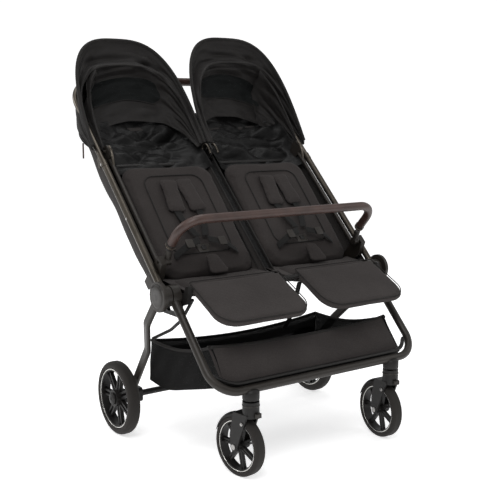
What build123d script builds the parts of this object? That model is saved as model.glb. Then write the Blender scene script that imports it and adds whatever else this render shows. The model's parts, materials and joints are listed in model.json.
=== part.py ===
from math import atan2, cos, degrees, radians, sin
import os

from build123d import *

# Twin side-by-side folding stroller. Millimetres, +Z up, the front faces -Y, and the
# symmetry plane is X = 0. The origin is on the floor, straight under the rear axle.

# ---- driving dimensions -------------------------------------------------------------
REAR_WHEEL_R = 107.0
REAR_TYRE_WIDTH = 36.0
REAR_TYRE_DEPTH = 19.0
REAR_TRACK = 720.0
FRONT_WHEEL_R = 81.0
FRONT_TYRE_WIDTH = 32.0
FRONT_TYRE_DEPTH = 13.0
CASTER_TRACK = 488.0
CASTER_TRAIL = 40.0
CASTER_Y = -500.0
CASTER_TURN = {"left": 7.6, "right": -4.6}

HUB_Y = -292.0
HUB_Z = 458.0
HUB_PIN_R = 8.0
BACK_LEAN = 44.7
CROSSBAR_Z = 240.0
FRONT_TUBE_R = 11.0
FRONT_LEG_X = 347.0
FRONT_BEND_R = 70.0
SOCKET_R = 12.6

UPPER_TUBE_R = 9.5
UPPER_TUBE_TOP = 475.0
UPPER_TUBE_BORE_R = 8.0
HANDLE_TUBE_R = 8.5
HANDLE_HINGE_N = 19.5
HANDLE_REACH = 809.0
HANDLE_BEND_R = 110.0
GRIP_R = 13.0
GRIP_LENGTH = 500.0
SIDE_TUBE_R = 6.5
SEAT_TUBE_R = 7.0

DISC_R = 40.0
DISC_THICKNESS = 12.0
LAYER_GAP = 2.0
RUNNING = 0.05
AXLE_R = 5.0
AXLE_TUBE_R = 9.0
FRONT_AXLE_R = 4.0
HINGE_PIN_R = 4.0

SEAT_INNER_X = 25.0
SEAT_OUTER_X = 314.0
CUSHION_TOP_Z = 485.0
CUSHION_THICKNESS = 30.0
PAD_LENGTH = 330.0
BOARD_LENGTH = 430.0
BOARD_THICKNESS = 8.0
FOOTREST_LENGTH = 160.0
FOOTREST_THICKNESS = 20.0
FOOTREST_SLOPE = 26.6
FOOTREST_CORNER_R = 55.0

BAR_X = 332.0
BAR_R = 12.5
BAR_BEND_R = 60.0

CANOPY_S = 505.0
CANOPY_N = -7.0
CANOPY_REACH = 398.0
CANOPY_TILT = {"left": 34.0, "right": 29.0}
CANOPY_OUTER_X = 386.0
CANOPY_INNER_X = 8.0
CANOPY_MIDDLE_X = (CANOPY_OUTER_X + CANOPY_INNER_X) / 2
CANOPY_CORNER_R = 150.0
HOOD_INNER_R = 312.0
BOW_R = 3.5
VISOR_DEPTH = 56.0
VISOR_THICKNESS = 2.4

BASKET_HALF_WIDTH = 306.0
BASKET_WALL = 3.0

# ---- worked-out places --------------------------------------------------------------
SIDES = (("left", -1), ("right", 1))
LEAN_COS = cos(radians(BACK_LEAN))
LEAN_SIN = sin(radians(BACK_LEAN))
FRONT_HUB_X0 = FRONT_LEG_X - SOCKET_R
FRONT_HUB_X1 = FRONT_LEG_X + FRONT_TUBE_R
UPPER_X = FRONT_HUB_X1 + LAYER_GAP + UPPER_TUBE_R
UPPER_HUB_X0 = UPPER_X - UPPER_TUBE_R
UPPER_HUB_X1 = UPPER_X + UPPER_TUBE_R
DISC_X0 = UPPER_HUB_X1 + LAYER_GAP
DISC_X1 = DISC_X0 + DISC_THICKNESS
SIDE_TUBE_X = UPPER_HUB_X0 - 8.5 - SIDE_TUBE_R
REAR_WHEEL_X = REAR_TRACK / 2
CASTER_X = CASTER_TRACK / 2
LEG_ANGLE = atan2(CROSSBAR_Z - HUB_Z, CASTER_Y - HUB_Y)
REAR_ANGLE = atan2(REAR_WHEEL_R - HUB_Z, -HUB_Y)
REAR_REACH = (HUB_Y**2 + (REAR_WHEEL_R - HUB_Z) ** 2) ** 0.5

os.makedirs("parts", exist_ok=True)


def save(piece, name):
    """Label a finished piece and write its STEP file."""
    piece.part.label = name
    export_step(piece.part, f"parts/{name}.step")


def on_back(s, n):
    """(y, z) of a point s up the upper frame from the hub, and n behind its plane."""
    return (HUB_Y + s * LEAN_COS + n * LEAN_SIN, HUB_Z + s * LEAN_SIN - n * LEAN_COS)


def from_hub(angle, distance):
    """(y, z) of a point at a distance from the hub, angle in radians from +Y."""
    return (HUB_Y + distance * cos(angle), HUB_Z + distance * sin(angle))


def side_plane(x):
    """Sketch plane across X, whose own axes are the frame's Y and Z."""
    return Plane(origin=(x, 0, 0), x_dir=(0, 1, 0), z_dir=(1, 0, 0))


def span(sign, x0, x1):
    """The lower X of a stretch mirrored to one side, and its length."""
    return (min(sign * x0, sign * x1), abs(x1 - x0))


def add_round(sign, x0, x1, centre, radius, bore=0.0):
    """Add a disc or sleeve along X, centred on (y, z), to the part being built."""
    start, length = span(sign, x0, x1)
    with BuildSketch(side_plane(start)) as disc:
        with Locations(centre):
            Circle(radius)
            if bore:
                Circle(bore, mode=Mode.SUBTRACT)
    extrude(disc.sketch, amount=length)


def cut_round(sign, x0, x1, centre, radius):
    """Cut a round hole along X, centred on (y, z)."""
    start, length = span(sign, x0, x1)
    with BuildSketch(side_plane(start)) as hole:
        with Locations(centre):
            Circle(radius)
    extrude(hole.sketch, amount=length, mode=Mode.SUBTRACT)


def add_plate(sign, x0, x1, outline):
    """Add a flat plate across X with an outline of (y, z) corners."""
    start, length = span(sign, x0, x1)
    with BuildSketch(side_plane(start)) as profile:
        with BuildLine():
            Polyline(*outline, close=True)
        make_face()
    extrude(profile.sketch, amount=length)


def add_tube(points, radius, bend=0.0, bore=0.0):
    """Add a tube along straight runs joined by arcs, open inside when bore is given."""
    with BuildLine() as route:
        if len(points) > 2:
            FilletPolyline(*points, radius=bend)
        else:
            Line(*points)
    with BuildSketch(Plane(origin=route.line @ 0, z_dir=route.line % 0)) as section:
        Circle(radius)
        if bore:
            Circle(bore, mode=Mode.SUBTRACT)
    sweep(section.sketch, path=route.line)


def at_x(x, point):
    """An (y, z) point placed at x."""
    return (x, point[0], point[1])


# ---- front frame: legs, hubs, caster saddles ----------------------------------------
LEG_START = 34.0
SOCKET_END = 62.0
FRONT_HUB_R = 28.0

with BuildPart() as front_leg_frame:
    leg_top = from_hub(LEG_ANGLE, LEG_START)
    add_tube(
        [
            at_x(-FRONT_LEG_X, leg_top),
            (-FRONT_LEG_X, CASTER_Y, CROSSBAR_Z),
            (FRONT_LEG_X, CASTER_Y, CROSSBAR_Z),
            at_x(FRONT_LEG_X, leg_top),
        ],
        FRONT_TUBE_R,
        FRONT_BEND_R,
    )
save(front_leg_frame, "front_leg_frame")

with BuildPart() as front_hubs:
    for side, sign in SIDES:
        add_round(sign, FRONT_HUB_X0, FRONT_HUB_X1, (HUB_Y, HUB_Z), FRONT_HUB_R)
        x = sign * FRONT_LEG_X
        add_tube([at_x(x, from_hub(LEG_ANGLE, 20.0)), at_x(x, from_hub(LEG_ANGLE, SOCKET_END))], SOCKET_R)
    for side, sign in SIDES:
        x = sign * FRONT_LEG_X
        socket = Plane(
            origin=at_x(x, leg_top),
            z_dir=(0, cos(LEG_ANGLE), sin(LEG_ANGLE)),
        )
        with BuildSketch(socket):
            Circle(FRONT_TUBE_R)
        extrude(amount=SOCKET_END, mode=Mode.SUBTRACT)
        cut_round(sign, FRONT_HUB_X0, FRONT_HUB_X1, (HUB_Y, HUB_Z), HUB_PIN_R + RUNNING)
save(front_hubs, "front_hubs")

SADDLE_R = 20.0
SADDLE_BOTTOM_Z = 212.0
STEM_R = 8.0
STEM_BOTTOM_Z = 174.0
HOUSING_R = 22.0
HOUSING_BOTTOM_Z = 167.0
HOUSING_TOP_Z = SADDLE_BOTTOM_Z - 3.5

with BuildPart() as caster_saddles:
    with BuildSketch(Plane.XY.offset(SADDLE_BOTTOM_Z)):
        with Locations((-CASTER_X, CASTER_Y), (CASTER_X, CASTER_Y)):
            Circle(SADDLE_R)
    extrude(amount=CROSSBAR_Z - 4.0 - SADDLE_BOTTOM_Z)
    with BuildSketch(Plane.XY.offset(STEM_BOTTOM_Z)):
        with Locations((-CASTER_X, CASTER_Y), (CASTER_X, CASTER_Y)):
            Circle(STEM_R)
    extrude(amount=SADDLE_BOTTOM_Z - STEM_BOTTOM_Z)
    cut_round(1, -FRONT_LEG_X, FRONT_LEG_X, (CASTER_Y, CROSSBAR_Z), FRONT_TUBE_R)
save(caster_saddles, "caster_saddles")


BRAKE_HOLES = 12
BRAKE_RING_R = 17.0
BRAKE_PIN_R = 3.0
BRAKE_HOLE_DEPTH = 8.5

# ---- wheels --------------------------------------------------------------------------
def make_tyre(plane, wheel_r, width, depth):
    """A round-shouldered tyre, centred on the plane."""
    with BuildPart() as tyre:
        with BuildSketch(plane.offset(-width / 2)):
            Circle(wheel_r)
            Circle(wheel_r - depth, mode=Mode.SUBTRACT)
        extrude(amount=width)
        outer = tyre.edges().filter_by(GeomType.CIRCLE).group_by(lambda edge: round(edge.radius, 2))[-1]
        fillet(outer, min(0.62 * depth, 0.4 * width))
    return tyre


def make_rim(plane, seat_r, width, hub_r, hub_width, axle_r, brake_holes=0):
    """A wheel centre with a rim band, seven pairs of spokes and a hub."""
    band = 0.09 * seat_r
    spoke = 0.035 * seat_r
    with BuildPart() as rim:
        with BuildSketch(plane.offset(-width / 2)):
            Circle(seat_r)
            Circle(seat_r - band, mode=Mode.SUBTRACT)
        extrude(amount=width)
        with BuildSketch(plane.offset(-hub_width / 2)):
            Circle(hub_r)
        extrude(amount=hub_width)
        reach = seat_r - band / 2 - hub_r / 2
        with BuildSketch(plane.offset(-width * 0.2)):
            with PolarLocations(0, 7):
                with Locations((hub_r / 2 + reach / 2, hub_r * 0.28), (hub_r / 2 + reach / 2, -hub_r * 0.28)):
                    Rectangle(reach, 2 * spoke)
        extrude(amount=width * 0.4)
        with BuildSketch(plane.offset(-hub_width / 2)):
            Circle(axle_r + RUNNING)
        extrude(amount=hub_width, mode=Mode.SUBTRACT)
        if brake_holes:
            with BuildSketch(plane.offset(-hub_width / 2)):
                with PolarLocations(BRAKE_RING_R, brake_holes):
                    Circle(BRAKE_PIN_R + 0.3)
            extrude(amount=BRAKE_HOLE_DEPTH, mode=Mode.SUBTRACT)
    return rim


REAR_HUB_R = 24.0
REAR_HUB_WIDTH = 34.0

for side, sign in SIDES:
    wheel_plane = Plane(origin=(sign * REAR_WHEEL_X, 0, REAR_WHEEL_R), x_dir=(0, 1, 0), z_dir=(sign, 0, 0))
    rear_tyre = make_tyre(wheel_plane, REAR_WHEEL_R, REAR_TYRE_WIDTH, REAR_TYRE_DEPTH)
    save(rear_tyre, f"rear_tyre_{side}")
    rim_width = REAR_TYRE_WIDTH - 8.0
    rear_rim = make_rim(
        wheel_plane, REAR_WHEEL_R - REAR_TYRE_DEPTH, rim_width, REAR_HUB_R, REAR_HUB_WIDTH, AXLE_R,
        BRAKE_HOLES,
    )
    save(rear_rim, f"rear_rim_{side}")

# ---- casters -------------------------------------------------------------------------
FORK_GAP = 18.5
FORK_PLATE = 5.0
TAB_TOP_Z = HOUSING_BOTTOM_Z + 14.0

for side, sign in SIDES:
    turn = CASTER_TURN[side]
    caster = Plane(
        origin=(sign * CASTER_X, CASTER_Y, 0),
        x_dir=(cos(radians(turn)), sin(radians(turn)), 0),
        z_dir=(0, 0, 1),
    )
    across = Plane(origin=caster.origin, x_dir=caster.y_dir, z_dir=caster.x_dir)
    front_hub = Plane(
        origin=caster.from_local_coords((0, CASTER_TRAIL, FRONT_WHEEL_R)),
        x_dir=caster.y_dir,
        z_dir=caster.x_dir,
    )

    with BuildPart() as fork:
        with BuildSketch(caster.offset(HOUSING_BOTTOM_Z)):
            Circle(HOUSING_R)
        extrude(amount=HOUSING_TOP_Z - HOUSING_BOTTOM_Z)
        with BuildSketch(caster.offset(HOUSING_BOTTOM_Z)):
            with Locations((0, 16.0)):
                RectangleRounded(2 * (FORK_GAP + FORK_PLATE), 52.0, 8.0)
        extrude(amount=8.0)
        for shift in (-FORK_GAP - FORK_PLATE, FORK_GAP):
            with BuildSketch(across.offset(shift)):
                with BuildLine():
                    Polyline(
                        (-10.0, HOUSING_BOTTOM_Z + 8.0),
                        (42.0, HOUSING_BOTTOM_Z + 8.0),
                        (CASTER_TRAIL + 15.0, FRONT_WHEEL_R + 30.0),
                        (CASTER_TRAIL + 12.0, FRONT_WHEEL_R),
                        (CASTER_TRAIL - 12.0, FRONT_WHEEL_R),
                        close=True,
                    )
                make_face()
                with Locations((CASTER_TRAIL, FRONT_WHEEL_R)):
                    Circle(12.0)
            extrude(amount=FORK_PLATE)
        with BuildSketch(front_hub.offset(-FORK_GAP - FORK_PLATE)):
            Circle(FRONT_AXLE_R)
        extrude(amount=2 * (FORK_GAP + FORK_PLATE), mode=Mode.SUBTRACT)
        with BuildSketch(caster.offset(STEM_BOTTOM_Z - 2.0)):
            Circle(STEM_R + RUNNING)
        extrude(amount=HOUSING_TOP_Z - STEM_BOTTOM_Z + 2.0, mode=Mode.SUBTRACT)
    save(fork, f"caster_fork_{side}")

    with BuildPart() as axle:
        reach = FORK_GAP + FORK_PLATE
        with BuildSketch(front_hub.offset(-reach)):
            Circle(FRONT_AXLE_R)
        extrude(amount=2 * reach)
        for start in (-reach - 2.5, reach):
            with BuildSketch(front_hub.offset(start)):
                Circle(FRONT_AXLE_R + 3.0)
            extrude(amount=2.5)
    save(axle, f"caster_axle_{side}")

    front_tyre = make_tyre(front_hub, FRONT_WHEEL_R, FRONT_TYRE_WIDTH, FRONT_TYRE_DEPTH)
    save(front_tyre, f"front_tyre_{side}")
    front_rim = make_rim(
        front_hub, FRONT_WHEEL_R - FRONT_TYRE_DEPTH, FRONT_TYRE_WIDTH - 7.0, 13.0, FRONT_TYRE_WIDTH,
        FRONT_AXLE_R,
    )
    save(front_rim, f"front_rim_{side}")

    with BuildPart() as tab:
        with BuildSketch(caster.offset(TAB_TOP_Z - 11.0)):
            with Locations((0, -HOUSING_R - 5.0)):
                RectangleRounded(18.0, 9.0, 3.0)
        extrude(amount=11.0)
    save(tab, f"swivel_lock_{side}")

# ---- rear frame ----------------------------------------------------------------------
LEG_WIDTH = 26.0
LEG_THICKNESS = 12.0
LEG_FOOT_X = 322.0
LEG_KNEE_X = 340.0
BRAKE_PIN_Z = REAR_WHEEL_R + BRAKE_RING_R
HOUSING_INNER_X = 296.0
BRAKE_TRAVEL = 8.0
AXLE_END_X = REAR_WHEEL_X + REAR_HUB_WIDTH / 2 + 1.5

for side, sign in SIDES:
    with BuildPart() as rear_leg:
        add_round(sign, DISC_X0, DISC_X1, (HUB_Y, HUB_Z), DISC_R)
        disc_rim = rear_leg.edges().filter_by(GeomType.CIRCLE).sort_by(Axis.X)
        fillet(disc_rim[-1] if sign > 0 else disc_rim[0], 3.0)
        leg_x = DISC_X0 + LEG_THICKNESS / 2
        stations = ((15.0, leg_x), (110.0, leg_x - 2.0), (235.0, LEG_KNEE_X), (REAR_REACH, LEG_FOOT_X))
        with BuildLine() as leg_route:
            FilletPolyline(*[at_x(sign * x, from_hub(REAR_ANGLE, d)) for d, x in stations], radius=60.0)
        leg_start = Plane(
            origin=leg_route.line @ 0,
            x_dir=(1, 0, 0),
            z_dir=leg_route.line % 0,
        )
        with BuildSketch(leg_start):
            RectangleRounded(LEG_THICKNESS, LEG_WIDTH, 5.0)
        sweep(path=leg_route.line)
        foot_x0 = LEG_FOOT_X - LEG_THICKNESS / 2
        foot_x1 = LEG_FOOT_X + LEG_THICKNESS / 2
        add_round(sign, foot_x0, foot_x1, (0, REAR_WHEEL_R + 4.0), 24.0)
        cut_round(sign, foot_x0 - 40.0, foot_x0, (0, REAR_WHEEL_R), 60.0)
        cut_round(sign, foot_x1, foot_x1 + 2.0, (0, REAR_WHEEL_R), 60.0)
        cut_round(sign, foot_x0 - 2.0, foot_x1 + 2.0, (0, REAR_WHEEL_R), AXLE_R)
        cut_round(sign, foot_x0 - 2.0, foot_x1 + 2.0, (0, BRAKE_PIN_Z), BRAKE_PIN_R + RUNNING)
        cut_round(sign, DISC_X0 - 30.0, DISC_X0, (HUB_Y, HUB_Z), DISC_R)
        cut_round(sign, DISC_X0, DISC_X1, (HUB_Y, HUB_Z), HUB_PIN_R + RUNNING)
    save(rear_leg, f"rear_leg_{side}")

    with BuildPart() as brake_pin:
        pin_tip_x = REAR_WHEEL_X - REAR_HUB_WIDTH / 2 - 1.0
        add_round(sign, HOUSING_INNER_X + 10.0, pin_tip_x, (0, BRAKE_PIN_Z), BRAKE_PIN_R)
    save(brake_pin, f"brake_pin_{side}")

with BuildPart() as rear_axle_tube:
    add_round(1, -foot_x0, foot_x0, (0, REAR_WHEEL_R), AXLE_TUBE_R, AXLE_R)
save(rear_axle_tube, "rear_axle_tube")

with BuildPart() as rear_axle_rod:
    add_round(1, -AXLE_END_X, AXLE_END_X, (0, REAR_WHEEL_R), AXLE_R)
    for side, sign in SIDES:
        add_round(sign, AXLE_END_X, AXLE_END_X + 3.0, (0, REAR_WHEEL_R), 11.0)
save(rear_axle_rod, "rear_axle_rod")

with BuildPart() as brake_housings:
    for side, sign in SIDES:
        start, length = span(sign, HOUSING_INNER_X, foot_x0)
        with BuildSketch(side_plane(start)):
            with Locations((-6.0, REAR_WHEEL_R + 4.0)):
                RectangleRounded(48.0, 42.0, 10.0)
        extrude(amount=length)
    for side, sign in SIDES:
        cut_round(sign, HOUSING_INNER_X, foot_x0, (0, REAR_WHEEL_R), AXLE_TUBE_R)
        cut_round(sign, HOUSING_INNER_X + 8.0, foot_x0, (0, BRAKE_PIN_Z), BRAKE_PIN_R + RUNNING)
save(brake_housings, "brake_housings")

PEDAL_X0 = 70.0
PEDAL_X1 = 130.0
with BuildPart() as brake_pedal:
    add_round(1, PEDAL_X0, PEDAL_X1, (0, REAR_WHEEL_R), AXLE_TUBE_R + 5.0)
    with BuildSketch(side_plane(PEDAL_X0)):
        with BuildLine():
            Polyline(
                (4.0, REAR_WHEEL_R + 13.0),
                (58.0, REAR_WHEEL_R + 20.0),
                (62.0, REAR_WHEEL_R + 14.0),
                (10.0, REAR_WHEEL_R + 2.0),
                close=True,
            )
        make_face()
    extrude(amount=PEDAL_X1 - PEDAL_X0)
    cut_round(1, PEDAL_X0, PEDAL_X1, (0, REAR_WHEEL_R), AXLE_TUBE_R + RUNNING)
save(brake_pedal, "brake_pedal")

# ---- upper frame ---------------------------------------------------------------------
UPPER_HUB_R = 26.0
PLUG_END = 60.0
for side, sign in SIDES:
    with BuildPart() as upper_tube:
        x = sign * UPPER_X
        add_tube(
            [at_x(x, on_back(UPPER_HUB_R + 0.5, 0)), at_x(x, on_back(UPPER_TUBE_TOP, 0))],
            UPPER_TUBE_R,
            bore=UPPER_TUBE_BORE_R,
        )
    save(upper_tube, f"upper_tube_{side}")

with BuildPart() as upper_hubs:
    for side, sign in SIDES:
        x = sign * UPPER_X
        add_round(sign, UPPER_HUB_X0, UPPER_HUB_X1, (HUB_Y, HUB_Z), UPPER_HUB_R)
        add_tube([at_x(x, on_back(20.0, 0)), at_x(x, on_back(PLUG_END, 0))], UPPER_TUBE_BORE_R)
    for side, sign in SIDES:
        cut_round(sign, UPPER_HUB_X0, UPPER_HUB_X1, (HUB_Y, HUB_Z), HUB_PIN_R)
save(upper_hubs, "upper_hubs")

with BuildPart() as hub_pins:
    for side, sign in SIDES:
        add_round(sign, FRONT_HUB_X0 + 1.0, DISC_X1 - 1.0, (HUB_Y, HUB_Z), HUB_PIN_R)
save(hub_pins, "hub_pins")

# The handle folds back on lugs behind the top of the upper tubes.
COLLAR_LENGTH = 22.0
LUG_THICKNESS = 5.0
HINGE_S = UPPER_TUBE_TOP
HINGE_REACH = 9.0


def hinge_lug(sign, x0, x1, s_end):
    """A lug from a tube to the handle hinge behind it."""
    low, high = min(s_end, HINGE_S), max(s_end, HINGE_S)
    outline = ((low, 4.0), (high, 4.0), (high, HANDLE_HINGE_N), (low, HANDLE_HINGE_N))
    add_plate(sign, x0, x1, [on_back(s, n) for s, n in outline])
    add_round(sign, x0, x1, on_back(HINGE_S, HANDLE_HINGE_N), HINGE_REACH - 1.5)


with BuildPart() as handle_collars:
    for side, sign in SIDES:
        x = sign * UPPER_X
        ends = (UPPER_TUBE_TOP - COLLAR_LENGTH, UPPER_TUBE_TOP - 0.5)
        hinge_lug(sign, UPPER_X - LUG_THICKNESS - 0.3, UPPER_X - 0.3, ends[0])
        add_tube([at_x(x, on_back(s, 0)) for s in ends], UPPER_TUBE_R + 0.9)
    for side, sign in SIDES:
        hinge = on_back(HINGE_S, HANDLE_HINGE_N)
        x = sign * UPPER_X
        axis = Plane(origin=at_x(x, on_back(ends[0], 0)), z_dir=(0, LEAN_COS, LEAN_SIN))
        with BuildSketch(axis):
            Circle(UPPER_TUBE_R)
        extrude(amount=COLLAR_LENGTH, mode=Mode.SUBTRACT)
        add_round(sign, UPPER_X - 0.3, UPPER_X + LUG_THICKNESS + 0.6, hinge, HINGE_PIN_R - 1.0)
save(handle_collars, "handle_collars")

# Side tubes run beside the upper tubes, from the bar fittings up to the canopy mounts.
FITTING_X0 = SIDE_TUBE_X - 1.5
BAR_PIVOT = (92.0, -23.0)
RECLINE_AXIS = (88.0, 62.0)
MOUNT_X0 = SIDE_TUBE_X - 6.0
MOUNT_X1 = SIDE_TUBE_X + 6.0
CROSS_S = 490.0
CROSS_N = 45.0

with BuildPart() as seat_side_tubes:
    for side, sign in SIDES:
        x = sign * SIDE_TUBE_X
        add_tube([at_x(x, on_back(100.0, 0)), at_x(x, on_back(485.0, 0))], SIDE_TUBE_R)
        fitting = [on_back(s, n) for s, n in ((76, -34), (104, -34), (106, 8), (102, 74), (74, 74), (58, 8))]
        add_plate(sign, FITTING_X0, UPPER_HUB_X0, fitting)
        outline = ((478, -16), (496, -24), (516, -22), (524, -4), (516, 20), (500, 54), (480, 54))
        mount = [on_back(s, n) for s, n in outline]
        add_plate(sign, MOUNT_X0, MOUNT_X1, mount)
        add_round(sign, MOUNT_X1, MOUNT_X1 + 8.5, on_back(CANOPY_S, CANOPY_N), HINGE_PIN_R)
    for side, sign in SIDES:
        cut_round(sign, FITTING_X0, UPPER_HUB_X0, on_back(*BAR_PIVOT), HINGE_PIN_R + RUNNING)
save(seat_side_tubes, "seat_side_tubes")

with BuildPart() as cross_tubes:
    add_round(1, -MOUNT_X0, MOUNT_X0, on_back(CROSS_S, CROSS_N), SEAT_TUBE_R)
    add_plate(
        1, -3.0, 3.0,
        [on_back(s, n) for s, n in ((480, 50), (500, 50), (522, -2), (516, -20), (494, -20), (484, -4))],
    )
    add_round(1, -12.0, 12.0, on_back(CANOPY_S, CANOPY_N), HINGE_PIN_R)
    add_round(1, -FITTING_X0, FITTING_X0, on_back(*RECLINE_AXIS), HINGE_PIN_R)
save(cross_tubes, "cross_tubes")

# ---- folding handle ------------------------------------------------------------------
HANDLE_FOOT = UPPER_TUBE_TOP + 1.0

with BuildPart() as handle_tube:
    foot = on_back(HANDLE_FOOT, 0)
    top = on_back(HANDLE_REACH, 0)
    add_tube(
        [at_x(-UPPER_X, foot), at_x(-UPPER_X, top), at_x(UPPER_X, top), at_x(UPPER_X, foot)],
        HANDLE_TUBE_R,
        HANDLE_BEND_R,
    )
    for side, sign in SIDES:
        hinge_lug(sign, UPPER_X + 0.3, UPPER_X + 0.3 + LUG_THICKNESS, HANDLE_FOOT + COLLAR_LENGTH)
    for side, sign in SIDES:
        hinge = on_back(HINGE_S, HANDLE_HINGE_N)
        cut_round(sign, UPPER_X, UPPER_X + LUG_THICKNESS + 1.0, hinge, HINGE_PIN_R - 0.95)
save(handle_tube, "handle_tube")

BUTTON_HALF = 14.0
handle_plane = Plane(
    origin=at_x(0, on_back(HANDLE_REACH, 0)), x_dir=(1, 0, 0), z_dir=(0, LEAN_COS, LEAN_SIN)
)
with BuildPart() as handle_grip:
    add_round(1, -GRIP_LENGTH / 2, GRIP_LENGTH / 2, on_back(HANDLE_REACH, 0), GRIP_R, HANDLE_TUBE_R)
    with BuildSketch(handle_plane.offset(HANDLE_TUBE_R + 0.5)):
        Rectangle(2 * BUTTON_HALF + 0.8, 11.0)
    extrude(amount=GRIP_R, mode=Mode.SUBTRACT)
save(handle_grip, "handle_grip")

with BuildPart() as fold_button:
    with BuildSketch(handle_plane.offset(HANDLE_TUBE_R + 2.5)):
        RectangleRounded(2 * BUTTON_HALF, 10.0, 3.0)
    extrude(amount=4.5)
save(fold_button, "fold_button")

# ---- bumper bar ----------------------------------------------------------------------
BAR_END = (-258.0, 580.0)
BAR_FRONT = (-330.0, 657.0)
BOSS_X0 = BAR_X - 7.0
with BuildPart() as bumper_bar:
    add_tube(
        [at_x(-BAR_X, BAR_END), at_x(-BAR_X, BAR_FRONT), at_x(BAR_X, BAR_FRONT), at_x(BAR_X, BAR_END)],
        BAR_R,
        BAR_BEND_R,
    )
save(bumper_bar, "bumper_bar")

with BuildPart() as bar_adapters:
    pivot = on_back(*BAR_PIVOT)
    for side, sign in SIDES:
        add_round(sign, BOSS_X0, FITTING_X0 - 1.0, pivot, 11.0)
        add_round(sign, FITTING_X0 - 1.0, FITTING_X0 + 12.0, pivot, HINGE_PIN_R)
        add_tube([at_x(sign * BAR_X, pivot), at_x(sign * BAR_X, (BAR_END[0] + 3.0, BAR_END[1] - 9.0))], 9.0)
save(bar_adapters, "bar_adapters")

# ---- seats ---------------------------------------------------------------------------
FOOTREST_PIVOT = (-345.0, 476.0)
FOOTREST_BARREL_R = 12.0
BRACKET_X0 = FRONT_HUB_X0 - 10.0
REAR_SEAT_TUBE = (-232.0, 446.0)

with BuildPart() as seat_tubes:
    add_round(1, -BRACKET_X0, BRACKET_X0, FOOTREST_PIVOT, SEAT_TUBE_R)
    add_round(1, -BRACKET_X0, BRACKET_X0, REAR_SEAT_TUBE, SEAT_TUBE_R)
save(seat_tubes, "seat_tubes")

with BuildPart() as seat_brackets:
    outline = (
        (-356, 466), (-350, 487), (-338, 487), (-328, 466), (-222, 456), (-222, 438),
        (-226, 398), (-304, 398), (-310, 430), (-340, 440),
    )
    for side, sign in SIDES:
        add_plate(sign, BRACKET_X0, FRONT_HUB_X0, outline)
    with BuildSketch(side_plane(-FRONT_HUB_X0)):
        with Locations((-265.0, 420.0)):
            RectangleRounded(46.0, 24.0, 6.0)
    extrude(amount=2 * FRONT_HUB_X0, mode=Mode.SUBTRACT)
save(seat_brackets, "seat_brackets")

with BuildPart() as seat_support_bars:
    for side, sign in SIDES:
        route = ((340, -174, 317), (319.4, -235, 350), (319.4, -292, 388), (319.4, -348, 452))
        add_tube([(sign * x, y, z) for x, y, z in route], 4.4, 40.0)
save(seat_support_bars, "seat_support_bars")

CUSHION_FRONT_Y = -330.0
CUSHION_REAR_Y = -214.0
for side, sign in SIDES:
    start, width = span(sign, SEAT_INNER_X, SEAT_OUTER_X)
    with BuildPart() as seat_cushion:
        with BuildSketch(Plane.XY.offset(CUSHION_TOP_Z - CUSHION_THICKNESS)):
            with Locations((start + width / 2, (CUSHION_FRONT_Y + CUSHION_REAR_Y) / 2)):
                RectangleRounded(width, CUSHION_REAR_Y - CUSHION_FRONT_Y, 18.0)
        extrude(amount=CUSHION_THICKNESS)
        fillet(seat_cushion.faces().sort_by(Axis.Z)[-1].edges(), 9.0)
    save(seat_cushion, f"seat_cushion_{side}")

    slope = radians(FOOTREST_SLOPE)
    flap = Plane(
        origin=(start + width / 2, *FOOTREST_PIVOT),
        x_dir=(1, 0, 0),
        z_dir=(0, -sin(slope), cos(slope)),
    )
    with BuildPart() as footrest:
        with BuildSketch(flap.offset(-FOOTREST_THICKNESS / 2)) as outline:
            with Locations((0, -FOOTREST_LENGTH / 2)):
                Rectangle(width, FOOTREST_LENGTH)
            fillet(outline.vertices().group_by(Axis.Y)[0], FOOTREST_CORNER_R)
        extrude(amount=FOOTREST_THICKNESS)
        add_round(1, start, start + width, FOOTREST_PIVOT, FOOTREST_BARREL_R)
        cut_round(1, start, start + width, FOOTREST_PIVOT, SEAT_TUBE_R + RUNNING)
    save(footrest, f"footrest_{side}")

with BuildPart() as crotch_pads:
    for side, sign in SIDES:
        middle = sign * (SEAT_INNER_X + SEAT_OUTER_X) / 2
        strip = ((-268, 486), (-262, 486), (-206, 528), (-210, 533), (-250, 506))
        add_plate(1, middle - 24.0, middle + 24.0, strip)
save(crotch_pads, "crotch_pads")

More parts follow.
